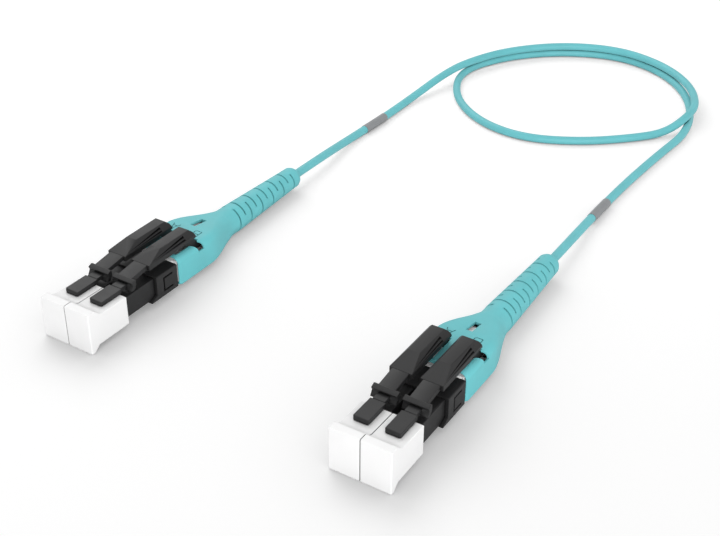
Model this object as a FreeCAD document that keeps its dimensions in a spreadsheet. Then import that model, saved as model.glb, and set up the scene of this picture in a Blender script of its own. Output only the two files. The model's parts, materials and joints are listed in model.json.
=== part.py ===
import FreeCAD, Part
import math
import os
import re
import Sketcher

# LC duplex fibre patch cord: two uniboot push-pull connectors joined by one cord.
# Each connector is built in its own frame: x = 0 midway between its two plugs, y = 0 at the
# front of the dust caps with +y towards the cord, z = 0 at the lowest point of the caps.

Vector = FreeCAD.Vector
doc = FreeCAD.newDocument("lc_patch_cord")

# ---- sizes (mm, degrees): one row per size, read by every sketch and feature through its alias
sizes = {
    # the pair of plugs
    "plug_pitch": 6.25, "fibre_height": 4.35, "relief_height": 3.25, "running_gap": 0.05, "seat_gap": 0.1,
    # dust cap
    "cap_width": 6.13, "cap_length": 10.5, "cap_lip_top": 8.98, "cap_lip_depth": 1.9,
    "cap_neck_length": 3.3, "cap_neck_top": 7.6, "cap_rear_top": 7.44, "cap_rear_bottom": 1.25,
    "cap_foot_depth": 0.8, "cap_foot_rise": 1.3, "cap_ramp_length": 2.2, "cap_ferrule_bore": 1.9,
    "cap_ferrule_room": 0.5, "cap_lip_fillet": 0.7, "cap_neck_fillet": 2.0, "cap_edge": 0.22,
    # plug housing
    "nose_front": 3.5, "nose_width": 4.5, "nose_height": 4.56, "nose_edge": 0.25,
    "ferrule_window": 2.0, "window_depth": 3.4, "spring_bore": 3.0,
    "spigot_width": 4.0, "spigot_length": 1.5,
    "web_width": 2.4, "web_front": 5.6, "pad_width": 3.1, "pad_front": 5.2, "pad_rear": 10.9,
    "pad_bottom": 7.62, "pad_top": 8.54, "pad_edge": 0.35,
    # latch lever
    "neck_thickness": 0.8, "neck_width": 2.4, "head_width": 5.2, "head_front": 12.5,
    "head_length": 1.5, "ear_bottom": 7.3, "ear_notch": 8.4, "ear_top": 9.06, "head_top": 9.45,
    "arm_width": 3.4, "arm_thickness": 1.0, "tail_front": 18.4, "tail_width": 4.6,
    "tail_under": 9.1, "tail_brow": 10.07, "knee_run": 4.6, "tail_top": 11.4, "tail_length": 13.4,
    "ridge_width": 2.4, "tail_leg_run": 10.9, "foot_top": 6.85, "foot_bottom": 6.05,
    "foot_reach": 3.6, "foot_width": 3.0, "tail_rear_under": 9.45,
    "recess_start": 1.0, "recess_end": 2.0, "recess_width": 2.5, "recess_bottom": 10.12,
    "recess_rib_bottom": 10.45, "recess_rib_top": 10.62, "recess_top": 11.05,
    # rear clip of each plug
    "clip_width": 5.99, "clip_bottom": 1.75, "clip_top": 7.0, "clip_front": 19.3,
    "clip_length": 6.25, "clip_toe": 1.8, "clip_toe_height": 1.1, "clip_edge": 0.2,
    "spring_seat_diameter": 2.9, "spring_seat_front": 15.9, "fibre_bore": 1.3,
    "groove_set_back": 2.0, "groove_run": 2.8, "groove_height": 3.3, "groove_line": 0.25,
    "groove_depth": 0.3,
    # ferrule group
    "ferrule_diameter": 1.25, "ferrule_front": 1.5, "ferrule_length": 6.5, "ferrule_edge": 0.15,
    "press_gap": 0.01, "flange_front": 7.0, "flange_diameter": 2.8, "flange_length": 2.0,
    "stem_diameter": 1.7, "stem_length": 4.0, "stem_bore": 1.1, "spring_mean": 2.3,
    "spring_wire": 0.3, "spring_turns": 5.0,
    # carrier between the plugs and the cord
    "carrier_split": 3.9, "flange_plate": 0.6, "plate_half_width": 5.4, "plate_bottom": 1.8,
    "plate_corner": 1.1, "plate_top": 7.1, "deck_half_width": 5.4, "deck_bottom": 2.1, "deck_top": 4.4,
    "block_top": 7.1, "block_depth": 1.15, "deck_rear": 36.5, "key_half_width": 3.0,
    "key_top": 7.05, "key_slope_front": 38.6, "key_rear": 41.3, "key_rear_top": 6.6, "throat_top": 5.6, "throat_rear": 43.0,
    "trough_floor": 2.7, "trough_half_width": 4.2, "ramp_length": 4.2, "channel_top": 5.1, "channel_width": 1.8,
    "tail_channel_half": 1.45, "barrel_diameter": 3.0, "barrel_bore": 2.2, "barrel_rear": 52.0,
    # crimp sleeve and buffered fibres
    "sleeve_front": 48.5, "sleeve_step": 53.0, "sleeve_rear": 60.5, "sleeve_diameter": 3.9,
    "sleeve_tail_diameter": 3.0, "fibre_diameter": 0.9, "fibre_spread": 1.0,
    "fibre_front": 12.0,
    # boot
    "boot_front": 26.2, "boot_half_width": 6.21, "boot_bottom": 1.25, "boot_top": 8.0,
    "boot_wall": 0.45, "boot_corner": 1.6, "boot_low_corner": 0.65, "rim_bevel": 0.8, "rim_bevel_depth": 0.35, "shoulder": 37.0, "shoulder_run": 12.0,
    "relief_diameter": 6.5, "relief_tip_diameter": 5.0, "relief_taper_end": 71.5,
    "boot_end": 74.6, "tip_round": 0.9, "cord_clearance": 0.3, "boot_step_gap": 0.15,
    "lip_strip": 0.9, "foot_pocket_end": 34.1, "foot_pocket_gap": 0.12,
    "side_opening_front": 31.0, "side_opening_slant": 1.7, "side_opening_rear": 33.6,
    "side_opening_floor": 6.25,
    "window_front": 38.2, "window_length": 3.8, "window_half_width": 0.65,
    "slot_first": 50.45, "slot_pitch": 4.22, "slot_width": 0.42, "slot_rib": 1.1,
    # cord and its two marker bands
    "cord_diameter": 2.0, "cord_height": 1.08, "crossing_height": 3.22, "cord_start": 58.5,
    "band_wall": 0.07, "near_band_from": 41.3, "far_band_from": 49.9, "band_length": 9.0,
    # where the far connector lies
    "far_shift_x": -67.7, "far_shift_y": 2.59, "far_turn": -0.81,
}
sheet = doc.addObject("Spreadsheet::Sheet", "sizes")
for row, (name, value) in enumerate(sizes.items(), 1):
    sheet.set("A%d" % row, name)
    sheet.set("B%d" % row, str(value))
    sheet.setAlias("B%d" % row, name)
doc.recompute()


def bound(text):
    """A sum written with sheet aliases, in the form setExpression takes."""
    return re.sub(r"\b(%s)\b" % "|".join(sorted(sizes, key=len, reverse=True)),
                  r"sizes.\1", str(text))


def number(text):
    """The same sum as a plain number, for a sketch's first position."""
    return float(sheet.evalExpression(bound(text)))


def new_body(label):
    body = doc.addObject("PartDesign::Body", label)
    body.Label = label
    return body


def new_sketch(body, name, role, away="0", up="0"):
    """A sketch on one of the body's own planes, moved along its normal and up in its plane."""
    sketch = body.newObject("Sketcher::SketchObject", name)
    plane = [item for item in body.Origin.OriginFeatures if item.Role == role][0]
    sketch.AttachmentSupport = [(plane, "")]
    sketch.MapMode = "FlatFace"
    sketch.setExpression("AttachmentOffset.Base.z", bound(away))
    sketch.setExpression("AttachmentOffset.Base.y", bound(up))
    return sketch


def outline(sketch, points):
    """One closed outline of straight edges; every corner is held by two sums from the sheet."""
    first = sketch.GeometryCount
    spots = [Vector(number(a), number(b), 0) for a, b in points]
    count = len(spots)
    sketch.addGeometry([Part.LineSegment(spots[i], spots[(i + 1) % count])
                        for i in range(count)], False)
    sketch.addConstraint([Sketcher.Constraint("Coincident", first + i, 2,
                                              first + (i + 1) % count, 1)
                          for i in range(count)])
    for i, pair in enumerate(points):
        for kind, text, value in zip(("DistanceX", "DistanceY"), pair, (spots[i].x, spots[i].y)):
            held = sketch.addConstraint(
                Sketcher.Constraint(kind, -1, 1, first + i, 1, value))
            sketch.setExpression("Constraints[%d]" % held, bound(text))


def box_outline(sketch, left, low, right, high):
    outline(sketch, [(left, low), (right, low), (right, high), (left, high)])


def circle(sketch, diameter, across="0", up="0"):
    first = sketch.addGeometry(Part.Circle(Vector(number(across), number(up), 0),
                                           Vector(0, 0, 1), number(diameter) / 2), False)
    for kind, text in (("DistanceX", across), ("DistanceY", up)):
        held = sketch.addConstraint(Sketcher.Constraint(kind, -1, 1, first, 3, number(text)))
        sketch.setExpression("Constraints[%d]" % held, bound(text))
    held = sketch.addConstraint(Sketcher.Constraint("Diameter", first, number(diameter)))
    sketch.setExpression("Constraints[%d]" % held, bound(diameter))


def rounded_outline(sketch, half_width, low, high, radius, low_radius):
    """A rectangle centred on x = 0 with rounded corners: one radius above, one below."""
    w, z0, z1 = number(half_width), number(low), number(high)
    r, q = number(radius), number(low_radius)
    line, arc, normal = Part.LineSegment, Part.ArcOfCircle, Vector(0, 0, 1)
    quarter = math.pi / 2
    sketch.addGeometry([
        line(Vector(q - w, z0, 0), Vector(w - q, z0, 0)),
        arc(Part.Circle(Vector(w - q, z0 + q, 0), normal, q), 3 * quarter, 4 * quarter),
        line(Vector(w, z0 + q, 0), Vector(w, z1 - r, 0)),
        arc(Part.Circle(Vector(w - r, z1 - r, 0), normal, r), 0, quarter),
        line(Vector(w - r, z1, 0), Vector(r - w, z1, 0)),
        arc(Part.Circle(Vector(r - w, z1 - r, 0), normal, r), quarter, 2 * quarter),
        line(Vector(-w, z1 - r, 0), Vector(-w, z0 + q, 0)),
        arc(Part.Circle(Vector(q - w, z0 + q, 0), normal, q), 2 * quarter, 3 * quarter)], False)
    sketch.addConstraint([Sketcher.Constraint("Tangent", i, 2, (i + 1) % 8, 1)
                          for i in range(8)])
    sketch.addConstraint([Sketcher.Constraint("Horizontal", 0), Sketcher.Constraint("Horizontal", 4),
                          Sketcher.Constraint("Vertical", 2), Sketcher.Constraint("Vertical", 6),
                          Sketcher.Constraint("Equal", 3, 5), Sketcher.Constraint("Equal", 1, 7)])
    for kind, edge, text in (("DistanceY", 0, low), ("DistanceX", 2, half_width),
                             ("DistanceY", 4, high), ("DistanceX", 6, "-(%s)" % half_width)):
        held = sketch.addConstraint(
            Sketcher.Constraint(kind, -1, 1, edge, 1, number(text)))
        sketch.setExpression("Constraints[%d]" % held, bound(text))
    for corner, text in ((3, radius), (1, low_radius)):
        held = sketch.addConstraint(Sketcher.Constraint("Radius", corner, number(text)))
        sketch.setExpression("Constraints[%d]" % held, bound(text))


def pad(body, sketch, length, both_ways=True):
    feature = body.newObject("PartDesign::Pad", sketch.Name + "_pad")
    feature.Profile = sketch
    feature.SideType = "Symmetric" if both_ways else "One side"
    feature.setExpression("Length", bound(length))
    return feature


def pocket(body, sketch, length, both_ways=True, reverse=False):
    """A cut; the volume is compared so that a cut into air is reported."""
    doc.recompute()
    before = body.Shape.Volume
    feature = body.newObject("PartDesign::Pocket", sketch.Name + "_cut")
    feature.Profile = sketch
    feature.SideType = "Symmetric" if both_ways else "One side"
    feature.Reversed = reverse
    feature.setExpression("Length", bound(length))
    doc.recompute()
    if body.Shape.Volume > before - 1e-4:
        print("cut takes nothing away:", feature.Name)
    return feature


def turn(body, sketch, cut=False):
    """A full turn about the sketch's own horizontal axis."""
    kind = "PartDesign::Groove" if cut else "PartDesign::Revolution"
    feature = body.newObject(kind, sketch.Name + ("_groove" if cut else "_turn"))
    feature.Profile = sketch
    feature.ReferenceAxis = (sketch, ["H_Axis"])
    feature.Angle = 360
    return feature


def dress(body, kind, size, wanted):
    """A fillet or chamfer on the edges of the tip whose ends pass the test given."""
    doc.recompute()
    base = body.Tip
    names = ["Edge%d" % (i + 1) for i, edge in enumerate(base.Shape.Edges)
             if len(edge.Vertexes) == 2 and wanted(edge.Vertexes[0].Point, edge.Vertexes[1].Point)]
    if not names:
        print("no edge to dress:", body.Label, kind)
        return None
    feature = body.newObject("PartDesign::" + kind, body.Name + "_" + kind.lower())
    feature.Base = (base, names)
    feature.setExpression("Radius" if kind == "Fillet" else "Size", bound(size))
    return feature


def near_to(a, b, gap=0.02):
    return abs(a - b) < gap


# ---- pieces of one plug, each drawn about the plug's own centre line x = 0

def dust_cap(label):
    """Soft white cap: lipped front, ramped underside, blind inside, slot over the latch web."""
    body = new_body(label)
    side = new_sketch(body, label + "_side", "YZ_Plane")
    outline(side, [("0", "0"), ("cap_foot_depth", "0"), ("cap_ramp_length", "cap_foot_rise - 0.05"),
                   ("cap_length", "cap_rear_bottom"), ("cap_length", "cap_rear_top"),
                   ("cap_neck_length", "cap_neck_top"), ("cap_lip_depth", "cap_lip_top"),
                   ("0", "cap_lip_top")])
    pad(body, side, "cap_width")
    lip, neck = number("cap_lip_depth"), number("cap_neck_length")
    dress(body, "Fillet", "cap_lip_fillet",
          lambda a, b: near_to(a.y, lip) and near_to(b.y, lip) and a.z > number("cap_neck_top"))
    dress(body, "Fillet", "cap_neck_fillet",
          lambda a, b: near_to(a.y, neck) and near_to(b.y, neck) and a.z > number("fibre_height"))
    tall = number("cap_lip_top")
    dress(body, "Fillet", "cap_edge",
          lambda a, b: near_to(a.y, 0) and near_to(b.y, 0)
          and not (near_to(a.z, 0) and near_to(b.z, 0)) and a.z < tall + 1)
    nose = new_sketch(body, label + "_nose_room", "XZ_Plane", "-cap_length")
    half, high = "(nose_width/2 + running_gap)", "(nose_height/2 + running_gap)"
    box_outline(nose, "-" + half, "fibre_height - " + high, half, "fibre_height + " + high)
    pocket(body, nose, "cap_length - nose_front + 3*seat_gap", False, True)
    bore = new_sketch(body, label + "_bore", "YZ_Plane", "0", "fibre_height")
    box_outline(bore, "ferrule_front - cap_ferrule_room", "0", "nose_front", "cap_ferrule_bore/2")
    turn(body, bore, True)
    slot = new_sketch(body, label + "_slot", "XY_Plane", "fibre_height")
    half = "(web_width/2 + 1.5*seat_gap)"
    box_outline(slot, "-" + half, "web_front - 2*seat_gap", half, "cap_length + 1")
    pocket(body, slot, "cap_lip_top", False, True)
    return body


def plug_housing(label):
    """Square nose with the latch web and pad on top; the hollow takes ferrule and spring."""
    body = new_body(label)
    nose = new_sketch(body, label + "_nose", "XZ_Plane", "-clip_front")
    box_outline(nose, "-nose_width/2", "fibre_height - nose_height/2",
                "nose_width/2", "fibre_height + nose_height/2")
    pad(body, nose, "clip_front - nose_front", False)
    front = number("nose_front")
    dress(body, "Chamfer", "nose_edge", lambda a, b: near_to(a.y, front) and near_to(b.y, front))
    spigot = new_sketch(body, label + "_spigot", "XZ_Plane", "-(clip_front + spigot_length)")
    box_outline(spigot, "-spigot_width/2", "fibre_height - spigot_width/2",
                "spigot_width/2", "fibre_height + spigot_width/2")
    pad(body, spigot, "spigot_length", False)
    web = new_sketch(body, label + "_web", "XY_Plane", "fibre_height")
    box_outline(web, "-web_width/2", "web_front", "web_width/2", "pad_rear")
    pad(body, web, "pad_bottom - fibre_height", False)
    top = new_sketch(body, label + "_pad", "XY_Plane", "pad_bottom")
    box_outline(top, "-pad_width/2", "pad_front", "pad_width/2", "pad_rear")
    pad(body, top, "pad_top - pad_bottom", False)
    start, high = number("pad_front"), number("pad_bottom")
    dress(body, "Fillet", "pad_edge",
          lambda a, b: near_to(a.y, start) and near_to(b.y, start) and a.z > high - 0.01
          and (abs(a.z - b.z) > 0.3 or a.z > high + 0.3))
    bore = new_sketch(body, label + "_bore", "YZ_Plane", "0", "fibre_height")
    outline(bore, [("nose_front - 1", "0"), ("nose_front - 1", "ferrule_window/2"),
                   ("nose_front + window_depth", "ferrule_window/2"),
                   ("nose_front + window_depth", "spring_bore/2"),
                   ("clip_front + spigot_length + 1", "spring_bore/2"),
                   ("clip_front + spigot_length + 1", "0")])
    turn(body, bore, True)
    return body


def latch_lever(label):
    """Latch: hinge neck, T head with its two ears, thin arm, and the ridged tail with its foot."""
    body = new_body(label)
    hinge_y, hinge_z = "(pad_rear + neck_thickness/2)", "((pad_bottom + pad_top)/2)"
    under, over = hinge_z + " - neck_thickness/2", hinge_z + " + neck_thickness/2"
    knuckle = new_sketch(body, label + "_knuckle", "YZ_Plane")
    circle(knuckle, "neck_thickness", hinge_y, hinge_z)
    pad(body, knuckle, "neck_width")
    neck = new_sketch(body, label + "_neck", "YZ_Plane")
    box_outline(neck, hinge_y, under, "head_front + head_length/2", over)
    pad(body, neck, "neck_width")
    head = new_sketch(body, label + "_head", "YZ_Plane")
    outline(head, [("head_front", "ear_bottom"), ("head_front + 0.4*head_length", "ear_notch"),
                   ("head_front + 0.2*head_length", "ear_top"),
                   ("head_front + 0.8*head_length", "head_top"),
                   ("head_front + head_length", "head_top - 0.1"),
                   ("head_front + head_length", "ear_notch - 0.3"),
                   ("head_front + 0.6*head_length", "ear_bottom")])
    pad(body, head, "head_width")
    arm = new_sketch(body, label + "_arm", "YZ_Plane")
    outline(arm, [("head_front + 0.8*head_length", "head_top - arm_thickness"),
                  ("tail_front + 0.4", "tail_brow - arm_thickness"), ("tail_front + 0.4", "tail_brow"),
                  ("head_front + 0.8*head_length", "head_top - 0.05")])
    pad(body, arm, "arm_width")
    tail = new_sketch(body, label + "_tail", "YZ_Plane")
    rear = "(tail_front + tail_length)"
    outline(tail, [("tail_front", "tail_under - 0.15"),
                   ("tail_front + tail_leg_run", "tail_under + 0.05"),
                   (rear + " + 0.45*foot_reach - 1.0", "foot_top"),
                   (rear + " + 0.45*foot_reach", "foot_bottom + 0.05"),
                   (rear + " + foot_reach - 0.2", "foot_bottom"),
                   (rear + " + foot_reach", "foot_bottom + 0.35"),
                   (rear + " + 0.8*foot_reach", "foot_top"),
                   (rear + " + 0.45*foot_reach", "foot_top + 1.15"),
                   (rear + " + 0.2*foot_reach", "tail_top - 0.7"), (rear, "tail_top - 0.05"),
                   ("tail_front + knee_run", "tail_top"), ("tail_front", "tail_brow")])
    pad(body, tail, "tail_width")
    # the tail's two long top edges are cut back so that its ridge is narrower than its base
    bevel = new_sketch(body, label + "_bevel", "XZ_Plane", "-(tail_front - 0.5)")
    for side in ("", "-"):
        outline(bevel, [(side + "(tail_width/2)", "tail_brow"), (side + "(ridge_width/2)", "tail_top"),
                        (side + "(ridge_width/2)", "tail_top + 1"),
                        (side + "(tail_width/2 + 1)", "tail_top + 1"),
                        (side + "(tail_width/2 + 1)", "tail_brow")])
    pocket(body, bevel, "tail_length + foot_reach + 2", False)
    # each side has a wedge-shaped recess, narrow in front, with a rib along its middle
    tip, end = "(tail_front + recess_start)", "(" + rear + " - recess_end)"
    for place, away, back in (("right", "tail_width/2 + 1", False),
                              ("left", "-tail_width/2 - 1", True)):
        recess = new_sketch(body, label + "_recess_" + place, "YZ_Plane", away)
        outline(recess, [(tip, "recess_rib_bottom - 0.15"), (end, "recess_rib_top"),
                         (end, "recess_top")])
        outline(recess, [(tip + " + 0.8", "recess_bottom + 0.04"), (end, "recess_bottom"),
                         (end, "recess_rib_bottom")])
        pocket(body, recess, "1 + (tail_width - recess_width)/2", False, back)
    # the leg and the foot are narrower than the tail, to pass through the boot's opening
    trim = new_sketch(body, label + "_foot_sides", "XZ_Plane",
                      "-(tail_front + tail_leg_run - 0.5)")
    for side in ("", "-"):
        outline(trim, [(side + "(foot_width/2)", "foot_bottom - 1"),
                       (side + "(tail_width/2 + 1)", "foot_bottom - 1"),
                       (side + "(tail_width/2 + 1)", "tail_rear_under"),
                       (side + "(foot_width/2)", "tail_rear_under")])
    pocket(body, trim, "tail_length", False)
    return body


def plug_body(label):
    """Black rear clip of a plug: takes the housing's spigot and gives the spring its seat."""
    body = new_body(label)
    side = new_sketch(body, label + "_side", "YZ_Plane")
    outline(side, [("clip_front - clip_toe", "clip_bottom"),
                   ("clip_front - clip_toe + 0.15", "clip_bottom + 0.2"),
                   ("clip_front", "clip_bottom + clip_toe_height"), ("clip_front", "clip_top"),
                   ("clip_front + clip_length", "clip_top"),
                   ("clip_front + clip_length", "clip_bottom")])
    pad(body, side, "clip_width")
    high = number("clip_top")
    dress(body, "Fillet", "clip_edge",
          lambda a, b: near_to(a.z, high) and near_to(b.z, high) and abs(a.y - b.y) > 1)
    nose = new_sketch(body, label + "_nose_room", "XZ_Plane", "-clip_front")
    half, tall = "(nose_width/2 + running_gap)", "(nose_height/2 + running_gap)"
    box_outline(nose, "-" + half, "fibre_height - " + tall, half, "fibre_height + " + tall)
    pocket(body, nose, "clip_toe + 1", False, True)
    spigot = new_sketch(body, label + "_spigot_room", "XZ_Plane", "-(clip_front - 1)")
    half = "(spigot_width/2 + running_gap)"
    box_outline(spigot, "-" + half, "fibre_height - " + half, half, "fibre_height + " + half)
    pocket(body, spigot, "spigot_length + 1 + seat_gap", False)
    seat = new_sketch(body, label + "_seat", "YZ_Plane", "0", "fibre_height")
    box_outline(seat, "spring_seat_front", "fibre_bore/2", "clip_front + clip_length/2",
                "spring_seat_diameter/2")
    turn(body, seat)
    bore = new_sketch(body, label + "_bore", "YZ_Plane", "0", "fibre_height")
    box_outline(bore, "spring_seat_front - 1", "0", "clip_front + clip_length + 1", "fibre_bore/2")
    turn(body, bore, True)
    for place, away, back in (("right", "clip_width/2 + 1", False), ("left", "-clip_width/2 - 1", True)):
        mark = new_sketch(body, label + "_mark_" + place, "YZ_Plane", away)
        front, low = "(clip_front + groove_set_back)", "(fibre_height - groove_height/2)"
        end, top = front + " + groove_run", "(fibre_height + groove_height/2)"
        outline(mark, [(front, low), (end, low), (end, low + " + groove_line"),
                       (front + " + groove_line", low + " + groove_line"),
                       (front + " + groove_line", top + " - groove_line"),
                       (end, top + " - groove_line"), (end, top), (front, top)])
        pocket(body, mark, "1 + groove_depth", False, back)
    return body


def ferrule(label):
    """White ceramic ferrule with a chamfered tip."""
    body = new_body(label)
    half = new_sketch(body, label + "_half", "YZ_Plane", "0", "fibre_height")
    rear = "ferrule_front + ferrule_length"
    outline(half, [("ferrule_front", "0"), ("ferrule_front", "ferrule_diameter/2 - ferrule_edge"),
                   ("ferrule_front + ferrule_edge", "ferrule_diameter/2"),
                   (rear, "ferrule_diameter/2"), (rear, "0")])
    turn(body, half)
    return body


def ferrule_flange(label):
    """Metal flange pressed on the ferrule, with the stem that runs back inside the spring."""
    body = new_body(label)
    half = new_sketch(body, label + "_half", "YZ_Plane", "0", "fibre_height")
    grip = "ferrule_diameter/2 + press_gap"
    ferrule_rear, stem_rear = "ferrule_front + ferrule_length", "flange_front + flange_length + stem_length"
    outline(half, [("flange_front", grip), ("flange_front", "flange_diameter/2"),
                   ("flange_front + flange_length", "flange_diameter/2"),
                   ("flange_front + flange_length", "stem_diameter/2"),
                   (stem_rear, "stem_diameter/2"), (stem_rear, "stem_bore/2"),
                   (ferrule_rear, "stem_bore/2"), (ferrule_rear, grip)])
    turn(body, half)
    return body


def ferrule_spring(label):
    """Coil spring from the flange to the seat of the rear clip."""
    body = new_body(label)
    wire = new_sketch(body, label + "_wire", "YZ_Plane", "0", "fibre_height")
    front = "(flange_front + flange_length + running_gap)"
    box_outline(wire, front, "spring_mean/2 - spring_wire/2",
                front + " + spring_wire", "spring_mean/2 + spring_wire/2")
    coil = body.newObject("PartDesign::AdditiveHelix", label + "_coil")
    coil.Profile = wire
    coil.ReferenceAxis = (wire, ["H_Axis"])
    coil.Mode = "height-turns-angle"
    coil.Angle = 0
    coil.setExpression("Height", bound("spring_seat_front - flange_front - flange_length"
                                       " - 2*running_gap - spring_wire"))
    coil.setExpression("Turns", bound("spring_turns"))
    return body


# ---- pieces that the two plugs of a connector share

def carrier(label, upper):
    """White frame that holds both plugs and runs back through the boot; split into two shells."""
    body = new_body(label)
    front = "(clip_front + clip_length)"
    plate = new_sketch(body, label + "_plate", "XZ_Plane", "-" + front)
    rounded_outline(plate, "plate_half_width", "plate_bottom", "plate_top", "plate_corner",
                    "boot_low_corner")
    pad(body, plate, "flange_plate", False).Reversed = True
    deck = new_sketch(body, label + "_deck", "YZ_Plane")
    outline(deck, [(front + " + flange_plate/2", "deck_bottom"), ("deck_rear", "deck_bottom"),
                   ("deck_rear", "deck_top"), (front + " + flange_plate + block_depth", "deck_top"),
                   (front + " + flange_plate + block_depth", "block_top"),
                   (front + " + flange_plate/2", "block_top")])
    pad(body, deck, "2*deck_half_width")
    key = new_sketch(body, label + "_key", "YZ_Plane")
    outline(key, [("deck_rear - 0.5", "deck_bottom + 0.3"), ("throat_rear", "deck_bottom + 0.3"),
                  ("throat_rear", "throat_top"), ("key_rear", "throat_top"),
                  ("key_rear", "key_rear_top"), ("key_slope_front", "key_top"),
                  ("deck_rear - 0.5", "key_top")])
    pad(body, key, "2*key_half_width")
    barrel = new_sketch(body, label + "_barrel", "YZ_Plane", "0", "relief_height")
    box_outline(barrel, "throat_rear - 0.5", "0", "barrel_rear", "barrel_diameter/2")
    turn(body, barrel)
    bore = new_sketch(body, label + "_bore", "YZ_Plane", "0", "relief_height")
    box_outline(bore, "throat_rear - 1.5", "0", "barrel_rear + 1", "barrel_bore/2")
    turn(body, bore, True)
    inlet = new_sketch(body, label + "_inlets", "XZ_Plane", "-(" + front + " - 1)")
    for side in ("-", ""):
        middle = side + "plug_pitch/2"
        box_outline(inlet, middle + " - channel_width/2", "trough_floor",
                    middle + " + channel_width/2", "channel_top")
    pocket(body, inlet, "1 + flange_plate + block_depth + 1", False)
    trough = new_sketch(body, label + "_trough", "XY_Plane", "trough_floor")
    start = front + " + flange_plate + block_depth"
    outline(trough, [("-trough_half_width", start), ("trough_half_width", start),
                     ("tail_channel_half", "deck_rear"), ("tail_channel_half", "throat_rear - 1"),
                     ("-tail_channel_half", "throat_rear - 1"), ("-tail_channel_half", "deck_rear")])
    pocket(body, trough, "carrier_split - trough_floor", False, True)
    ramp = new_sketch(body, label + "_ramp", "XY_Plane", "trough_floor")
    box_outline(ramp, "-trough_half_width", start + " - 0.1", "trough_half_width",
                start + " + ramp_length")
    pocket(body, ramp, "deck_top - trough_floor + 0.1", False, True)
    throat = new_sketch(body, label + "_throat", "XZ_Plane", "-(deck_rear - 1)")
    box_outline(throat, "-tail_channel_half", "trough_floor", "tail_channel_half", "channel_top")
    pocket(body, throat, "throat_rear - deck_rear", False)
    other = new_sketch(body, label + "_other_half", "YZ_Plane")
    low, high = ("-1", "carrier_split") if upper else ("carrier_split", "plate_top + 1")
    box_outline(other, front + " - 1", low, "barrel_rear + 1", high)
    pocket(body, other, "2*plate_half_width + 2")
    return body


def crimp_sleeve(label):
    """Metal sleeve: wide over the carrier's barrel, narrow over the cord's end."""
    body = new_body(label)
    half = new_sketch(body, label + "_half", "YZ_Plane", "0", "relief_height")
    wide, narrow = "barrel_diameter/2 + running_gap", "cord_diameter/2 + running_gap"
    outline(half, [("sleeve_front", wide), ("sleeve_front", "sleeve_diameter/2"),
                   ("sleeve_step", "sleeve_diameter/2"), ("sleeve_step + 0.4", "sleeve_tail_diameter/2"),
                   ("sleeve_rear", "sleeve_tail_diameter/2"), ("sleeve_rear", narrow),
                   ("barrel_rear + seat_gap", narrow), ("barrel_rear + seat_gap", wide)])
    turn(body, half)
    return body


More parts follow.
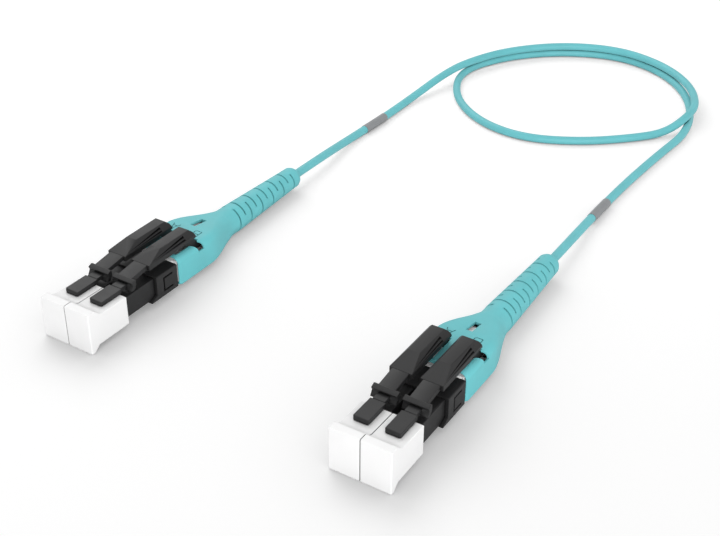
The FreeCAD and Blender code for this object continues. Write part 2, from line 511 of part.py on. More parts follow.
def boot(label):
    """Push-pull boot: open box over the carrier, waist, slotted strain relief round the cord."""
    body = new_body(label)
    box = new_sketch(body, label + "_box", "XZ_Plane", "-boot_front")
    rounded_outline(box, "boot_half_width", "boot_bottom", "boot_top", "boot_corner",
                    "boot_low_corner")
    pad(body, box, "shoulder - boot_front", False).Reversed = True
    rim = number("boot_front")
    bevel = dress(body, "Chamfer", "rim_bevel",
                  lambda a, b: near_to(a.y, rim) and near_to(b.y, rim))
    bevel.ChamferType = "Two distances"
    bevel.setExpression("Size2", bound("rim_bevel_depth"))
    # sections of the waist: how far along it, and how far each has gone from box to round
    stages = ((0.0, 0.0), (0.25, 0.2), (0.5, 0.52), (0.75, 0.83), (1.0, 1.0))
    for inside in (False, True):
        kind = "inner" if inside else "outer"
        wall = "boot_wall" if inside else "0"
        thick = "(relief_diameter - sleeve_diameter)/2 - boot_step_gap" if inside else "0"
        rings = []
        for place, (along, done) in enumerate(stages):
            ring = new_sketch(body, "%s_%s_%d" % (label, kind, place), "XZ_Plane",
                              "-(shoulder + %s*shoulder_run)" % along)
            mix = "(%s + %s*(%s - %s))"
            width = mix % ("(boot_half_width - %s)" % wall, done,
                           "(relief_diameter/2 - (%s))" % thick, "(boot_half_width - %s)" % wall)
            low = mix % ("(boot_bottom + %s)" % wall, done,
                         "(relief_height - relief_diameter/2 + %s)" % thick,
                         "(boot_bottom + %s)" % wall)
            high = mix % ("(boot_top - %s)" % wall, done,
                          "(relief_height + relief_diameter/2 - (%s))" % thick,
                          "(boot_top - %s)" % wall)
            corners = [mix % ("(%s - %s)" % (corner, wall), done,
                              "(relief_diameter/2 - (%s) - 0.02)" % thick,
                              "(%s - %s)" % (corner, wall))
                       for corner in ("boot_corner", "boot_low_corner")]
            rounded_outline(ring, width, low, high, *corners)
            rings.append(ring)
        loft = body.newObject("PartDesign::%sLoft" % ("Subtractive" if inside else "Additive"),
                              label + "_" + kind + "_waist")
        loft.Profile = rings[0]
        loft.Sections = rings[1:]
        if not inside:
            relief = new_sketch(body, label + "_relief", "YZ_Plane", "0", "relief_height")
            outline(relief, [("shoulder + shoulder_run - 0.2", "0"),
                             ("shoulder + shoulder_run - 0.2", "relief_diameter/2"),
                             ("shoulder + shoulder_run + 1", "relief_diameter/2"),
                             ("relief_taper_end", "relief_tip_diameter/2"),
                             ("boot_end - tip_round", "relief_tip_diameter/2 - 0.05"),
                             ("boot_end - 0.3*tip_round", "relief_tip_diameter/2 - 0.35*tip_round"),
                             ("boot_end", "relief_tip_diameter/2 - tip_round"), ("boot_end", "0")])
            turn(body, relief)
    room = new_sketch(body, label + "_room", "XZ_Plane", "-(boot_front - 1)")
    rounded_outline(room, "boot_half_width - boot_wall", "boot_bottom + boot_wall",
                    "boot_top - boot_wall", "boot_corner - boot_wall", "boot_low_corner - boot_wall")
    pocket(body, room, "shoulder - boot_front + 1", False)
    bore = new_sketch(body, label + "_bore", "YZ_Plane", "0", "relief_height")
    outline(bore, [("shoulder + shoulder_run - 1", "0"),
                   ("shoulder + shoulder_run - 1", "sleeve_diameter/2 + boot_step_gap"),
                   ("sleeve_step + 0.5", "sleeve_diameter/2 + boot_step_gap"),
                   ("sleeve_step + 0.5", "sleeve_tail_diameter/2 + boot_step_gap"),
                   ("sleeve_rear + 0.5", "sleeve_tail_diameter/2 + boot_step_gap"),
                   ("sleeve_rear + 0.5", "cord_diameter/2 + cord_clearance"),
                   ("boot_end + 1", "cord_diameter/2 + cord_clearance"), ("boot_end + 1", "0")])
    turn(body, bore, True)
    # two openings in the top for the feet of the latch levers, and a window behind them
    tops = new_sketch(body, label + "_openings", "XY_Plane", "fibre_height")
    for side in ("-", ""):
        middle = side + "plug_pitch/2"
        half = "(foot_width/2 + foot_pocket_gap)"
        box_outline(tops, middle + " - " + half, "boot_front + lip_strip", middle + " + " + half,
                    "foot_pocket_end")
    box_outline(tops, "-window_half_width", "window_front", "window_half_width",
                "window_front + window_length")
    pocket(body, tops, "boot_top", False, True)
    # the openings break out through the upper corners of the box along slanted edges
    sides = new_sketch(body, label + "_side_openings", "XY_Plane", "side_opening_floor")
    for side in ("-", ""):
        inner = side + "(plug_pitch/2 + foot_width/2)"
        outer = side + "(boot_half_width + 0.2)"
        outline(sides, [(inner, "side_opening_front"),
                        (outer, "side_opening_front + side_opening_slant"),
                        (outer, "side_opening_rear + 0.6*side_opening_slant"),
                        (inner, "side_opening_rear")])
    pocket(body, sides, "boot_top", False, True)
    # strain relief slots: pairs at the sides, and pairs above and below half a pitch between
    for across, name in ((True, "side"), (False, "top")):
        slots = new_sketch(body, label + "_" + name + "_slots", "XY_Plane" if across else "YZ_Plane")
        for place in range(6 if across else 5):
            middle = "(slot_first + %s*slot_pitch)" % (place + (0 if across else 0.5))
            front, rear = middle + " - slot_width/2", middle + " + slot_width/2"
            for sign in ("-", ""):
                near, far = "slot_rib", "(relief_diameter/2 + 1)"
                if across:
                    outline(slots, [(sign + near, front), (sign + far, front),
                                    (sign + far, rear), (sign + near, rear)])
                else:
                    outline(slots, [(front, "relief_height " + (sign or "+") + near),
                                    (front, "relief_height " + (sign or "+") + far),
                                    (rear, "relief_height " + (sign or "+") + far),
                                    (rear, "relief_height " + (sign or "+") + near)])
        pocket(body, slots, "4*relief_diameter")
    return body


# ---- paths that bend: the cord, its bands and the fibres

def rounded_path(points):
    """Straight runs joined by tangent arcs; an arc takes 0.45 of the shorter run beside it."""
    edges, radii, last = [], [], points[0]
    for before, corner, after in zip(points, points[1:], points[2:]):
        back, onward = before - corner, after - corner
        reach = 0.45 * min(back.Length, onward.Length)
        half_turn = (math.pi - back.getAngle(onward)) / 2
        radius = reach / math.tan(half_turn)
        back.normalize()
        onward.normalize()
        inward = (back + onward).normalize()
        start, end = corner + back * reach, corner + onward * reach
        middle = corner + inward * (radius / math.cos(half_turn) - radius)
        edges.append(Part.LineSegment(last, start).toShape())
        edges.append(Part.Arc(start, middle, end).toShape())
        radii.append(radius)
        last = end
    edges.append(Part.LineSegment(last, points[-1]).toShape())
    return edges, radii


def stretch_of(edges, start, length):
    """The part of a path between two distances along it."""
    kept, passed = [], 0.0
    for edge in edges:
        low, high = max(start - passed, 0.0), min(start + length - passed, edge.Length)
        if high - low > 1e-6:
            kept.append(edge.Curve.toShape(edge.getParameterByLength(low),
                                           edge.getParameterByLength(high)))
        passed += edge.Length
    return kept


def tube(edges, diameter):
    first = edges[0]
    along = first.tangentAt(first.FirstParameter)
    ring = Part.makeCircle(diameter / 2, first.valueAt(first.FirstParameter), along)
    solid = Part.Wire(edges).makePipe(Part.Face(Part.Wire(ring)))
    return solid if solid.ShapeType == "Solid" else Part.Solid(solid.Shells[0])


def swept(label, shape, placement):
    piece = doc.addObject("Part::Feature", label)
    piece.Label = label
    piece.Shape = shape
    piece.Placement = placement
    return piece


def buffered_fibre(label, side, placement):
    """One tight-buffered fibre: from its ferrule, down under the lever's foot, to the cord's end."""
    across, gather = side * number("plug_pitch") / 2, side * number("fibre_spread") / 2
    high, low = number("fibre_height"), number("relief_height")
    block, deck = number("clip_front + clip_length"), number("deck_rear")
    points = [Vector(across, number("fibre_front"), high), Vector(across, block + 0.6, high),
              Vector(gather + 0.52 * (across - gather), block + 5.4, low),
              Vector(gather, deck + 1.2, low), Vector(gather, number("cord_start"), low)]
    return swept(label, tube(rounded_path(points)[0], number("fibre_diameter")), placement)


# ---- both connectors, each piece made for itself and put in its place

layout = FreeCAD.Placement(Vector(0, -number("boot_end") / 2, 0), FreeCAD.Rotation())
lie = FreeCAD.Placement(Vector(number("far_shift_x"), number("far_shift_y"), 0),
                        FreeCAD.Rotation(Vector(0, 0, 1), number("far_turn")))
nodes = []
for end, stand in (("near", FreeCAD.Placement()), ("far", lie)):
    for side_name, side in (("left", -1), ("right", 1)):
        aside = FreeCAD.Placement(Vector(side * number("plug_pitch") / 2, 0, 0), FreeCAD.Rotation())
        for make in (dust_cap, plug_housing, latch_lever, plug_body, ferrule, ferrule_flange,
                     ferrule_spring):
            piece = make("%s_%s_%s" % (end, make.__name__, side_name))
            piece.Placement = layout.multiply(stand).multiply(aside)
            nodes.append(piece)
        nodes.append(buffered_fibre("%s_buffered_fibre_%s" % (end, side_name), side,
                                    layout.multiply(stand)))
    for piece in (carrier(end + "_carrier_base", False), carrier(end + "_carrier_cover", True),
                  crimp_sleeve(end + "_crimp_sleeve"), boot(end + "_boot")):
        piece.Placement = layout.multiply(stand)
        nodes.append(piece)

# ---- the cord: from the near boot back and round in one loop that lies on itself at the back
low, high = number("cord_height"), number("crossing_height")
start_y, exit_y, axis = number("cord_start"), number("cord_start") + 21.5, number("relief_height")
points = [Vector(0, start_y, axis), Vector(0, exit_y, axis)]
points += [Vector(x, y, low) for x, y in (
    (-1.3, 101.6), (-0.9, 119), (0.1, 137), (1.4, 154), (-4.6, 171.5), (-15.5, 184),
    (-30.5, 189.4), (-46, 184), (-58.3, 172.5), (-64.8, 156.5), (-58.2, 140.8), (-46, 130.6),
    (-32, 127.8), (-18.5, 133.8), (-9.2, 144), (-4.8, 151.5))]
points += [Vector(x, y, high) for x, y in (
    (-1.2, 158), (0, 166.5), (-6.2, 177.2), (-17, 185.8), (-31, 189.4), (-46, 184),
    (-58, 171.8), (-63.8, 158), (-65.2, 147))]
points += [Vector(x, y, low) for x, y in ((-67.2, 134.5), (-67.3, 119), (-68.1, 104.1))]
points += [lie.multVec(Vector(0, exit_y, axis)), lie.multVec(Vector(0, start_y, axis))]
route, radii = rounded_path(points)
route_length = sum(edge.Length for edge in route)
thick, wall = number("cord_diameter"), number("band_wall")
cord = tube(route, thick)
nodes.append(swept("cord", cord, layout))
bands = (("near_marker_band", number("near_band_from")),
         ("far_marker_band", route_length - number("far_band_from") - number("band_length")))
for label, start in bands:
    part = stretch_of(route, start, number("band_length"))
    hollow = tube(part, thick + 2 * number("press_gap") + 2 * wall).cut(
        tube(part, thick + 2 * number("press_gap")))
    nodes.append(swept(label, hollow.Solids[0], layout))
print("cord: length %.1f, least bend radius %.1f of %s" %
      (route_length, min(radii), [round(r) for r in radii]))
print("cord volume / (section x length): %.5f" %
      (cord.Volume / (math.pi * thick ** 2 / 4 * route_length)))

# ---- everything must have worked before anything is written
doc.recompute()
for item in doc.Objects:
    if "Invalid" in item.State or "Error" in item.State:
        raise RuntimeError("%s is in state %s" % (item.Name, item.State))
for piece in nodes:
    if piece.Shape.isNull() or not piece.Shape.isValid() or len(piece.Shape.Solids) != 1:
        raise RuntimeError("%s is not one valid solid" % piece.Label)
os.makedirs("parts", exist_ok=True)
for piece in nodes:
    piece.Shape.exportStep("parts/%s.step" % piece.Label)
    box = piece.Shape.optimalBoundingBox()
    print("%-32s %8.2f mm3  x %.2f %.2f  y %.2f %.2f  z %.2f %.2f" % (
        piece.Label, piece.Shape.Volume, box.XMin, box.XMax, box.YMin, box.YMax, box.ZMin, box.ZMax))
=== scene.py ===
import json
import math

import bmesh
import bpy
from mathutils import Matrix, Vector
from mathutils.bvhtree import BVHTree

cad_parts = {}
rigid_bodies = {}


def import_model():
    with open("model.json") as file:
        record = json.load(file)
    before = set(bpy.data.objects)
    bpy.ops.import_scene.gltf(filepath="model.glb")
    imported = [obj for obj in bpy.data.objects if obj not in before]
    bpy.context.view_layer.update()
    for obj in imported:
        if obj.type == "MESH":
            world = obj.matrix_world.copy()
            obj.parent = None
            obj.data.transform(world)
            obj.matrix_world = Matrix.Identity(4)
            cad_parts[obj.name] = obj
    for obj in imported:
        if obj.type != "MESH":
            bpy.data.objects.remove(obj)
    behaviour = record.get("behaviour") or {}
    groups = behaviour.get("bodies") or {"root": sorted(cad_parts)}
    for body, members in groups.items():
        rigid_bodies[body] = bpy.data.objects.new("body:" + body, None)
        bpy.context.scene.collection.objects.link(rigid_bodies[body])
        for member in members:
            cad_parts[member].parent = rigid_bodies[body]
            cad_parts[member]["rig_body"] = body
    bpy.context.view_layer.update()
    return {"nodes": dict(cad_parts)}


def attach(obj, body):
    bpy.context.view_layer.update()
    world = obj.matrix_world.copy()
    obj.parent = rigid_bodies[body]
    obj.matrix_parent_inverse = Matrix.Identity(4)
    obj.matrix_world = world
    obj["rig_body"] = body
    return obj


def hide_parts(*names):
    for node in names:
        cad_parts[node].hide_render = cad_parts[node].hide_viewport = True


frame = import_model()

# ---- The surface, the light and the camera
# The cord lies on a plain white table, in soft light from all round. A broad lamp above and
# behind gives each connector its shadow. A softbox beside the camera lights the sides that face
# it and passes over the table.
scene = bpy.context.scene
scene.view_settings.view_transform = "Standard"

TABLE_SIZE, TABLE_WHITE, TABLE_GLOW = 6.0, (0.92, 0.92, 0.92, 1), 0.215
bpy.ops.mesh.primitive_plane_add(size=TABLE_SIZE, location=(0, 0, 0))
table = bpy.context.object
table.name = "table"
white = bpy.data.materials.new("table_white")
white.use_nodes = True
nodes, links = white.node_tree.nodes, white.node_tree.links
nodes.clear()
paint = nodes.new("ShaderNodeBsdfDiffuse")
paint.inputs["Color"].default_value = TABLE_WHITE
glow = nodes.new("ShaderNodeEmission")
seen = nodes.new("ShaderNodeLightPath")
shown = nodes.new("ShaderNodeMath")
shown.operation = "MULTIPLY"
shown.inputs[1].default_value = TABLE_GLOW
both = nodes.new("ShaderNodeAddShader")
out = nodes.new("ShaderNodeOutputMaterial")
links.new(seen.outputs["Is Camera Ray"], shown.inputs[0])
links.new(shown.outputs[0], glow.inputs["Strength"])
links.new(paint.outputs[0], both.inputs[0])
links.new(glow.outputs[0], both.inputs[1])
links.new(both.outputs[0], out.inputs["Surface"])
table.data.materials.append(white)

HORIZON_LIGHT, ZENITH_LIGHT = 0.92, 0.55
world = bpy.data.worlds.new("studio")
scene.world = world
world.use_nodes = True
nodes, links = world.node_tree.nodes, world.node_tree.links
sky = nodes["Background"]
sky.inputs["Color"].default_value = (1, 1, 1, 1)
around = nodes.new("ShaderNodeTexCoord")
height = nodes.new("ShaderNodeSeparateXYZ")
dome = nodes.new("ShaderNodeMapRange")
dome.inputs["To Min"].default_value = HORIZON_LIGHT
dome.inputs["To Max"].default_value = ZENITH_LIGHT
seen = nodes.new("ShaderNodeLightPath")
lit = nodes.new("ShaderNodeMix")
lit.inputs["B"].default_value = 1.0
links.new(around.outputs["Generated"], height.inputs["Vector"])
links.new(height.outputs["Z"], dome.inputs["Value"])
links.new(seen.outputs["Is Camera Ray"], lit.inputs["Factor"])
links.new(dome.outputs["Result"], lit.inputs["A"])
links.new(lit.outputs["Result"], sky.inputs["Strength"])

LAMP_SIZE = 0.5
LIT_MIDDLE = Vector((-0.03, 0.05, 0))


def soft_lamp(name, spot, energy):
    """A round lamp that looks at the middle of the cord."""
    lamp = bpy.data.lights.new(name, "AREA")
    lamp.shape = "DISK"
    lamp.size = LAMP_SIZE
    lamp.energy = energy
    stand = bpy.data.objects.new(name, lamp)
    stand.location = spot
    stand.rotation_euler = (LIT_MIDDLE - stand.location).to_track_quat("-Z", "Y").to_euler()
    scene.collection.objects.link(stand)
    return stand


soft_lamp("overhead", (-0.38, 0.26, 0.44), 1.25)
softbox = soft_lamp("front_softbox", (0.36, -0.40, 0.20), 2.2)
passed_over = bpy.data.collections.new("softbox_passes_over")
passed_over.objects.link(table)
softbox.light_linking.receiver_collection = passed_over
passed_over.collection_objects[0].light_linking.link_state = "EXCLUDE"

AZIMUTH, ELEVATION = 32.41, 32.32
lens = bpy.data.cameras.new("camera")
lens.sensor_width = 36.0
lens.lens = 61.82
lens.shift_x, lens.shift_y = 0.0122, -0.0091
lens.clip_start, lens.clip_end = 0.005, 20.0
camera = bpy.data.objects.new("camera", lens)
camera.location = (0.0816, -0.16837, 0.14106)
camera.rotation_euler = (math.radians(90 - ELEVATION), 0, math.radians(AZIMUTH))
scene.collection.objects.link(camera)
scene.camera = camera


# ---- Black plugs: housings, latch levers and rear clips
# Each plug is a square-nosed housing with its latch lever on top and a clip snapped on behind.
# They are moulded in glass-filled black plastic with a fine grain that takes the shine off.
MM = 0.001
ENDS = ("near", "far")
SIDES = ("left", "right")


def moulded(name, colour, roughness, grain, depth, mottle=0.12, specular=0.5, crevice=0.35,
             cast=None):
    """Moulded plastic: a fine grain in the surface, slow drifts in its tone and its gloss, and
    painted shade on colour and shine in crevices narrower than some tenths of a millimetre.
    With cast, bounced light takes that colour, which paints the light and shade thrown round
    it."""
    finish = bpy.data.materials.new(name)
    finish.use_nodes = True
    nodes, links = finish.node_tree.nodes, finish.node_tree.links
    shader = nodes["Principled BSDF"]
    place = nodes.new("ShaderNodeTexCoord")
    speckle = nodes.new("ShaderNodeTexNoise")
    speckle.inputs["Scale"].default_value = grain
    speckle.inputs["Detail"].default_value = 3.0
    drift = nodes.new("ShaderNodeTexNoise")
    drift.inputs["Scale"].default_value = grain / 14
    drift.inputs["Detail"].default_value = 2.0
    tone = nodes.new("ShaderNodeValToRGB")
    tone.color_ramp.elements[0].position = 0.3
    tone.color_ramp.elements[1].position = 0.7
    tone.color_ramp.elements[0].color = [c * (1 - mottle) for c in colour] + [1]
    tone.color_ramp.elements[1].color = [min(1, c * (1 + mottle)) for c in colour] + [1]
    gloss = nodes.new("ShaderNodeMapRange")
    gloss.inputs["To Min"].default_value = roughness - 0.07
    gloss.inputs["To Max"].default_value = roughness + 0.07
    dents = nodes.new("ShaderNodeBump")
    dents.inputs["Strength"].default_value = 0.6
    dents.inputs["Distance"].default_value = depth
    # Painted shade: ambient occlusion darkens the colour and the shine in crevices.
    crevice_shade = nodes.new("ShaderNodeAmbientOcclusion")
    crevice_shade.samples = 6
    crevice_shade.inputs["Distance"].default_value = crevice * MM
    shade_level = nodes.new("ShaderNodeMapRange")
    shade_level.inputs["From Min"].default_value = 0.2
    shade_level.inputs["From Max"].default_value = 0.75
    shade_level.inputs["To Min"].default_value = 0.1
    shaded = nodes.new("ShaderNodeVectorMath")
    shaded.operation = "SCALE"
    shine = nodes.new("ShaderNodeMath")
    shine.operation = "MULTIPLY"
    shine.inputs[1].default_value = specular
    for texture in (speckle, drift):
        links.new(place.outputs["Object"], texture.inputs["Vector"])
    links.new(drift.outputs["Fac"], tone.inputs["Fac"])
    links.new(drift.outputs["Fac"], gloss.inputs["Value"])
    links.new(speckle.outputs["Fac"], dents.inputs["Height"])
    links.new(crevice_shade.outputs["AO"], shade_level.inputs["Value"])
    # Painted light and shade round the piece: bounced light takes the cast colour instead of
    # the piece's own.
    if cast:
        path = nodes.new("ShaderNodeLightPath")
        thrown = nodes.new("ShaderNodeMix")
        thrown.data_type = "RGBA"
        thrown.inputs["B"].default_value = list(cast) + [1]
        links.new(path.outputs["Is Diffuse Ray"], thrown.inputs["Factor"])
        links.new(tone.outputs["Color"], thrown.inputs["A"])
        links.new(thrown.outputs["Result"], shaded.inputs[0])
    else:
        links.new(tone.outputs["Color"], shaded.inputs[0])
    links.new(shade_level.outputs["Result"], shaded.inputs["Scale"])
    links.new(shade_level.outputs["Result"], shine.inputs[0])
    links.new(shaded.outputs["Vector"], shader.inputs["Base Color"])
    links.new(shine.outputs["Value"], shader.inputs["Specular IOR Level"])
    links.new(gloss.outputs["Result"], shader.inputs["Roughness"])
    links.new(dents.outputs["Normal"], shader.inputs["Normal"])
    return finish


def dress(node, finish):
    """Gives a piece from the frame its finish."""
    piece = frame["nodes"][node]
    piece.data.materials.clear()
    piece.data.materials.append(finish)


def softened(node, finish, width, sharp=32.0, crease=16.0, rounded=lambda middle: True,
             evened=None):
    """A copy of a piece from the frame with its sharp edges rounded, as they leave the mould.
    Where two edges run into each other like a wedge, both stay sharp."""
    source = frame["nodes"][node]
    shape = bmesh.new()
    shape.from_mesh(source.data)
    bmesh.ops.remove_doubles(shape, verts=shape.verts, dist=0.002 * MM)
    bmesh.ops.dissolve_limit(shape, angle_limit=math.radians(0.6), verts=shape.verts,
                             edges=shape.edges, use_dissolve_boundaries=False)
    if evened:
        evened(shape)
    sharp_edges = [edge for edge in shape.edges
                   if edge.is_convex and edge.calc_face_angle() > math.radians(sharp)
                   and rounded((edge.verts[0].co + edge.verts[1].co) / 2)]
    found = set(sharp_edges)
    edges = []
    for edge in sharp_edges:
        for corner in edge.verts:
            along = edge.other_vert(corner).co - corner.co
            beside = [other.other_vert(corner).co - corner.co
                      for other in corner.link_edges if other in found and other != edge]
            if any(along.angle(other, 0) < math.radians(30) for other in beside):
                break
        else:
            edges.append(edge)
    bmesh.ops.bevel(shape, geom=edges, offset=width, offset_type="OFFSET", segments=2,
                    profile=0.5, affect="EDGES", material=-1, clamp_overlap=False)
    bmesh.ops.triangulate(shape, faces=[face for face in shape.faces if len(face.verts) > 4])
    mesh = bpy.data.meshes.new(node + "_moulded")
    shape.to_mesh(mesh)
    shape.free()
    mesh.shade_smooth()
    mesh.set_sharp_from_angle(angle=math.radians(crease))
    mesh.materials.append(finish)
    piece = bpy.data.objects.new(node + "_moulded", mesh)
    scene.collection.objects.link(piece)
    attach(piece, source["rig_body"])
    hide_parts(node)
    return piece


SHIFT_Y = -37.3
FAR_X, FAR_Y, FAR_TURN = -67.7, 2.59, -0.81


def connector_place(end):
    """Where a connector stands: the middle of its caps' front, on the table."""
    place = Matrix.Translation((0, SHIFT_Y * MM, 0))
    if end == "far":
        place = place @ Matrix.Translation((FAR_X * MM, FAR_Y * MM, 0)) @ Matrix.Rotation(
            math.radians(FAR_TURN), 4, "Z")
    return place


PLUG_MIDDLE, CLIP_SIDE = 3.125, 2.995
MARK_FRONT, MARK_REAR, MARK_LOW, MARK_HIGH = 21.3, 24.1, 2.7, 6.0
MARK_LINE, MARK_DEPTH = 0.25, 0.3
MARK_WIDER, MARK_DEEPER = 0.12, 0.45
NEAR = 0.05


def marked(shape, base):
    """Makes the C-shaped groove in the sides of a clip a little wider and deeper, so that its
    real shade and the painted crevice shade of its finish read as black."""
    back = base.inverted()
    for corner in shape.verts:
        spot = back @ corner.co / MM
        away = spot.x - math.copysign(PLUG_MIDDLE, spot.x)
        if not (MARK_FRONT - NEAR < spot.y < MARK_REAR + NEAR
                and MARK_LOW - NEAR < spot.z < MARK_HIGH + NEAR
                and CLIP_SIDE - MARK_DEPTH - NEAR < abs(away) < CLIP_SIDE + NEAR):
            continue
        if abs(spot.y - MARK_FRONT - MARK_LINE) < NEAR:
            spot.y += MARK_WIDER
        if abs(spot.z - MARK_LOW - MARK_LINE) < NEAR:
            spot.z += MARK_WIDER
        if abs(spot.z - MARK_HIGH + MARK_LINE) < NEAR:
            spot.z -= MARK_WIDER
        if abs(away) < CLIP_SIDE - MARK_DEPTH / 2:
            spot.x -= math.copysign(MARK_DEEPER, away)
        corner.co = base @ (spot * MM)


# The black's finish paints deeper shade into crevices up to 0.6 mm across.
black = moulded("plug_black", (0.013, 0.013, 0.0135), 0.5, 6500, 0.000012, specular=0.4,
                crevice=0.6)
far_pieces = []
for end in ENDS:
    base = connector_place(end)
    for side in SIDES:
        for part, width, mend in (("plug_housing", 0.06, None), ("latch_lever", 0.05, None),
                                  ("plug_body", 0.06, lambda shape: marked(shape, base))):
            piece = softened("%s_%s_%s" % (end, part, side), black, width * MM, evened=mend)
            if end == "far":
                far_pieces.append(piece)

# ---- Dust caps
# One over each nose, moulded in soft white polyethylene with a slightly waxy surface. A cap
# only grips its nose, so it pulls straight off.
# Painted shadow: bounced light takes a dark grey off the caps, so the table beside them is
# darker.
cap_white = moulded("cap_white", (0.87, 0.87, 0.87), 0.42, 2500, 0.000008, 0.01, specular=0.3,
                    cast=(0.12, 0.12, 0.12))
for end in ENDS:
    for side in SIDES:
        piece = softened("%s_dust_cap_%s" % (end, side), cap_white, 0.1 * MM)
        if end == "far":
            far_pieces.append(piece)

# ---- Ferrules, flanges, springs, fibres and crimp sleeves
# Under each cap a polished zirconia ferrule, pressed into a metal flange that a coiled steel
# spring pushes forward. A buffered glass fibre runs back from it through the carrier to the
# steel sleeve that is crimped on the cord.
ceramic = moulded("ferrule_ceramic", (0.86, 0.86, 0.83), 0.12, 9000, 0.000001, 0.01)
steel = moulded("spring_steel", (0.55, 0.55, 0.56), 0.3, 9000, 0.000002, 0.08)
steel.node_tree.nodes["Principled BSDF"].inputs["Metallic"].default_value = 1.0
buffer = moulded("fibre_buffer", (0.72, 0.5, 0.06), 0.35, 4000, 0.000002, 0.03)
for end in ENDS:
    for side in SIDES:
        dress("%s_ferrule_%s" % (end, side), ceramic)
        dress("%s_ferrule_flange_%s" % (end, side), steel)
        dress("%s_ferrule_spring_%s" % (end, side), steel)
        dress("%s_buffered_fibre_%s" % (end, side), buffer)
    dress(end + "_crimp_sleeve", steel)

# ---- Carriers
# The white shell between the two clips and the boot, moulded in two halves that close over the
# fibres. It holds both clips at their pitch.
# Its finish paints almost no shade into crevices, so the carrier stays white.
carrier_white = moulded("carrier_white", (0.93, 0.93, 0.93), 0.4, 3500, 0.000008, 0.02,
                        crevice=0.02)
for end in ENDS:
    dress(end + "_carrier_base", carrier_white)
    dress(end + "_carrier_cover", carrier_white)

# ---- Boots
# Soft aqua thermoplastic rubber, one moulding from the square front shell to the slotted strain
# relief that slides on the cord. An A and a B are engraved behind the levers, so that each
# fibre keeps its side; they read from behind.
LETTERS = {
    "A": (((-0.85, -1.05), (0, 1.05), (0.85, -1.05)), ((-0.42, -0.32), (0.42, -0.32))),
    "B": (((-0.75, -1.05), (-0.75, 1.05), (0.35, 1.05), (0.7, 0.8), (0.7, 0.35), (0.42, 0.08),
           (0.8, -0.25), (0.8, -0.75), (0.45, -1.05), (-0.65, -1.05)),
          ((-0.65, 0.08), (0.28, 0.08))),
}
LETTER_LINE, LETTER_DEPTH = 0.17, 0.14
LETTER_X, LETTER_Y = 2.9, 35.75
RELIEF_HEIGHT = 3.25
SHELL_REAR, RELIEF_FRONT = 48.0, 50.15
WAIST_FRONT, WAIST_REAR, WAIST_RADIUS = 46.6, 50.1, 3.0
CONE_FRONT, CONE_START, CONE_REAR, CONE_SLOPE = 49.6, 51.2, 73.0, 0.0366
CONE_RADIUS = 2.4
SPARE_RING, RING_HALF_WIDTH = 60.75, 0.03


def engraved(piece, marks, base):
    """Cuts letters into the top of a piece. Each stroke is a strip with mitred corners that
    follows the surface, and base places the letters' middles in the world."""
    surface = BVHTree.FromObject(piece, bpy.context.evaluated_depsgraph_get())
    cutter = bmesh.new()
    for letter, middle in marks:
        for stroke in LETTERS[letter]:
            points = [Vector(point) for point in stroke]
            runs = [(two - one).normalized() for one, two in zip(points, points[1:])]
            rings = []
            for point, before, after in zip(points, runs[:1] + runs, runs + runs[-1:]):
                normal = Vector((-before.y - after.y, before.x + after.x)).normalized()
                normal *= LETTER_LINE / 2 / normal.dot(Vector((-before.y, before.x)))
                spot = base @ (Vector((middle[0] - point.x, middle[1] - point.y, 30)) * MM)
                top = surface.ray_cast(spot, Vector((0, 0, -1)))[0].z
                ring = []
                for edge, rise in ((normal, -1), (-normal, -1), (-normal, 1), (normal, 1)):
                    spot = base @ (Vector((middle[0] - point.x - edge.x,
                                           middle[1] - point.y - edge.y, 0)) * MM)
                    spot.z = top + rise * LETTER_DEPTH * MM
                    ring.append(cutter.verts.new(spot))
                rings.append(ring)
            cutter.faces.new(rings[0])
            cutter.faces.new(rings[-1])
            for one, two in zip(rings, rings[1:]):
                for corner in range(4):
                    after = (corner + 1) % 4
                    cutter.faces.new((one[corner], one[after], two[after], two[corner]))
    bmesh.ops.recalc_face_normals(cutter, faces=cutter.faces)
    mesh = bpy.data.meshes.new("letter_cutter")
    cutter.to_mesh(mesh)
    cutter.free()
    tool = bpy.data.objects.new("letter_cutter", mesh)
    scene.collection.objects.link(tool)
    cut = piece.modifiers.new("letters", "BOOLEAN")
    cut.operation = "DIFFERENCE"
    cut.solver = "EXACT"
    cut.object = tool
    done = bpy.data.meshes.new_from_object(piece.evaluated_get(
        bpy.context.evaluated_depsgraph_get()))
    piece.modifiers.remove(cut)
    piece.data = done
    bpy.data.objects.remove(tool)


def turned_true(piece, base):
    """Lets the round outside of the strain relief shade as the plain cone that it is, from the
    waist to the tip."""
    mesh, back = piece.data, base.inverted()
    normals = [corner.vector.copy() for corner in mesh.corner_normals]
    for corner in mesh.loops:
        spot = back @ mesh.vertices[corner.vertex_index].co / MM
        out = Vector((spot.x, 0, spot.z - RELIEF_HEIGHT))
        slope = CONE_SLOPE if spot.y > CONE_START else 0.0
        plain = (base.to_3x3() @ (out.normalized() + Vector((0, slope, 0)))).normalized()
        if (CONE_FRONT < spot.y < CONE_REAR and out.length > CONE_RADIUS - 0.1
                and normals[corner.index].angle(plain, 0) < math.radians(35)):
            normals[corner.index] = plain
    mesh.normals_split_custom_set(normals)


def from_axis(spot):
    """How far a place is from the middle line of the strain relief."""
    return math.hypot(spot.x, spot.z - RELIEF_HEIGHT)


def outside(middle, base):
    """Edges of the shell, and the slot edges on the outside of the strain relief."""
    spot = base.inverted() @ middle / MM
    return spot.y < SHELL_REAR or (spot.y > RELIEF_FRONT and from_axis(spot) > CONE_RADIUS)


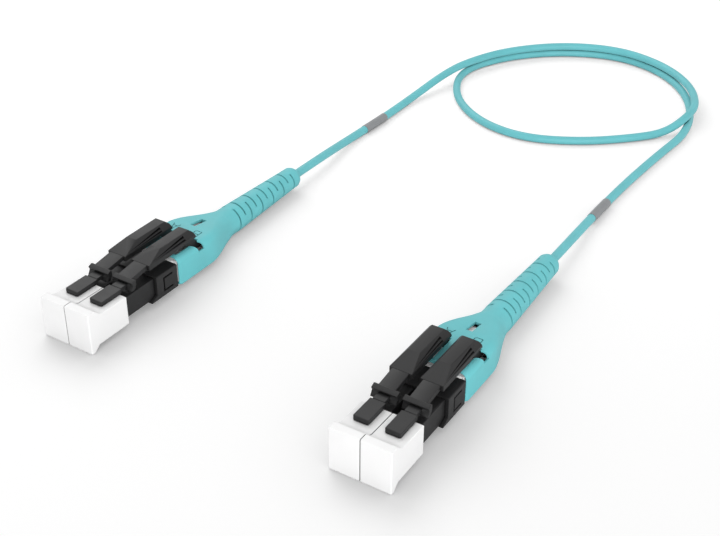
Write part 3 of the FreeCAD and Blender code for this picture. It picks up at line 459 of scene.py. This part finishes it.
def waist_evened(shape, base):
    """Smooths the outside where the waist runs into the strain relief, and takes a ring of
    corners out of the plain cone."""
    back = base.inverted()
    ring, waist = [], []
    for corner in shape.verts:
        spot = back @ corner.co / MM
        if abs(spot.y - SPARE_RING) < RING_HALF_WIDTH and from_axis(spot) > CONE_RADIUS:
            ring.append(corner)
        elif WAIST_FRONT < spot.y < WAIST_REAR and from_axis(spot) > WAIST_RADIUS:
            waist.append(corner)
    for _ in range(30):
        bmesh.ops.smooth_vert(shape, verts=waist, factor=0.5, use_axis_x=True,
                              use_axis_y=True, use_axis_z=True)
    bmesh.ops.dissolve_verts(shape, verts=ring)


# Painted shadow: bounced light takes a grey off the boots, so their shadows on the table are
# darker and carry no aqua.
boot_aqua = moulded("boot_aqua", (0.135, 0.52, 0.555), 0.5, 3200, 0.00001, 0.03, specular=0.35,
                    cast=(0.28, 0.30, 0.30))
for end in ENDS:
    base = connector_place(end)
    piece = softened(end + "_boot", boot_aqua, 0.08 * MM, crease=30.0,
                     rounded=lambda middle: outside(middle, base),
                     evened=lambda shape: waist_evened(shape, base))
    engraved(piece, (("A", (-LETTER_X, LETTER_Y)), ("B", (LETTER_X, LETTER_Y))), base)
    turned_true(piece, base)
    if end == "far":
        far_pieces.append(piece)

# ---- Cord
# Round aqua jacket over both fibres: out of the near boot, back along the table, once round
# in a loop that ends by lying on itself, and forward into the far boot.
LENGTH, DIAMETER = 0.48, 0.002
LOW, HIGH, BOOT_AXIS = 1.08, 3.22, 3.25
route = [(0, 58.5, BOOT_AXIS), (0, 80, BOOT_AXIS)]
route += [(x, y, LOW) for x, y in (
    (-1.3, 101.6), (-0.9, 119), (0.4, 137), (2.2, 154.4), (-3.8, 172.3), (-14.9, 184.9),
    (-30.3, 190.1), (-46, 184.4), (-58.3, 172.5), (-64.8, 156.5), (-58.2, 140.8), (-46, 130.6),
    (-32, 127.8), (-18.5, 133.8), (-8.2, 142.8), (-2.6, 149.8))]
route += [(x, y, HIGH) for x, y in (
    (0.4, 157), (-0.2, 166.3), (-6.2, 177.2), (-17, 185.8), (-31, 189.4), (-46, 184),
    (-58, 171.8), (-63.8, 158), (-65.2, 147))]
route += [(x, y, LOW) for x, y in ((-67.2, 134.5), (-67.3, 119), (-68.1, 104.1))]
route += [(-66.521, 86.0, BOOT_AXIS), (-66.873, 61.084, BOOT_AXIS)]
line = bpy.data.curves.new("cord_jacket", "CURVE")
line.dimensions = "3D"
line.resolution_u = 16
path = line.splines.new("NURBS")
path.points.add(len(route) - 1)
for point, (x, y, z) in zip(path.points, route):
    point.co = (x * MM, (y + SHIFT_Y) * MM, z * MM, 1)
path.order_u = 3
path.use_endpoint_u = True
cord = bpy.data.objects.new("cord_jacket", line)
scene.collection.objects.link(cord)
bare = bpy.data.meshes.new_from_object(cord)
centre = [vertex.co.copy() for vertex in bare.vertices]
line.bevel_depth = DIAMETER / 2
line.bevel_resolution = 6
line.use_fill_caps = True
# Painted light: bounced light takes a pale grey off the cord, so its shadow on the table is
# lighter and carries no aqua.
cord_aqua = moulded("cord_aqua", (0.135, 0.50, 0.54), 0.42, 2600, 0.000006, 0.03, specular=0.35,
                    cast=(0.7, 0.72, 0.72))
line.materials.append(cord_aqua)
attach(cord, "patch_cord")
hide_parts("cord")

# ---- Marker bands
# A thin grey sleeve shrunk on the cord not far from each connector. It is tubing, open at both
# ends, and follows the cord where it bends.
BAND_LENGTH, BAND_WALL = 9.0 * MM, 0.08 * MM
NEAR_BAND_START, FAR_BAND_END = 40.9 * MM, 49.6 * MM
band_grey = moulded("band_grey", (0.24, 0.25, 0.26), 0.45, 3000, 0.000006, 0.05)


def stretch(points, start, length):
    """The points of a line between two distances along it."""
    passed, kept = 0.0, []
    for a, b in zip(points, points[1:]):
        run = (b - a).length
        for wanted in (start, start + length):
            if passed <= wanted < passed + run:
                kept.append(a.lerp(b, (wanted - passed) / run))
        if start < passed + run < start + length:
            kept.append(b)
        passed += run
    return kept


def sleeve(name, points, radius, wall):
    """A thin round sleeve that follows a line."""
    shape = bmesh.new()
    rings = []
    for place, point in enumerate(points):
        ahead = points[min(place + 1, len(points) - 1)] - points[max(place - 1, 0)]
        turn = Vector((0, 0, 1)).rotation_difference(ahead.normalized()).to_matrix().to_4x4()
        made = bmesh.ops.create_circle(shape, segments=28, radius=radius,
                                       matrix=Matrix.Translation(point) @ turn)
        rings.append(made["verts"])
    for one, two in zip(rings, rings[1:]):
        bmesh.ops.bridge_loops(shape, edges=[
            edge for edge in shape.edges
            if any(all(end in ring for end in edge.verts) for ring in (one, two))])
    bmesh.ops.recalc_face_normals(shape, faces=shape.faces)
    bmesh.ops.solidify(shape, geom=shape.faces[:], thickness=wall)
    mesh = bpy.data.meshes.new(name)
    shape.to_mesh(mesh)
    shape.free()
    mesh.shade_smooth()
    mesh.set_sharp_from_angle(angle=math.radians(40))
    piece = bpy.data.objects.new(name, mesh)
    scene.collection.objects.link(piece)
    return piece


total = sum((b - a).length for a, b in zip(centre, centre[1:]))
for end, start in (("near", NEAR_BAND_START), ("far", total - FAR_BAND_END - BAND_LENGTH)):
    band = sleeve(end + "_band_sleeve", stretch(centre, start, BAND_LENGTH),
                  DIAMETER / 2 + BAND_WALL, BAND_WALL)
    band.data.materials.append(band_grey)
    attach(band, "patch_cord")
    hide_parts(end + "_marker_band")

replaced = ("far_marker_band", "far_boot", "far_dust_cap", "far_plug", "far_latch")
far_pieces += [piece for name, piece in frame["nodes"].items()
               if name.startswith("far_") and not name.startswith(replaced)]
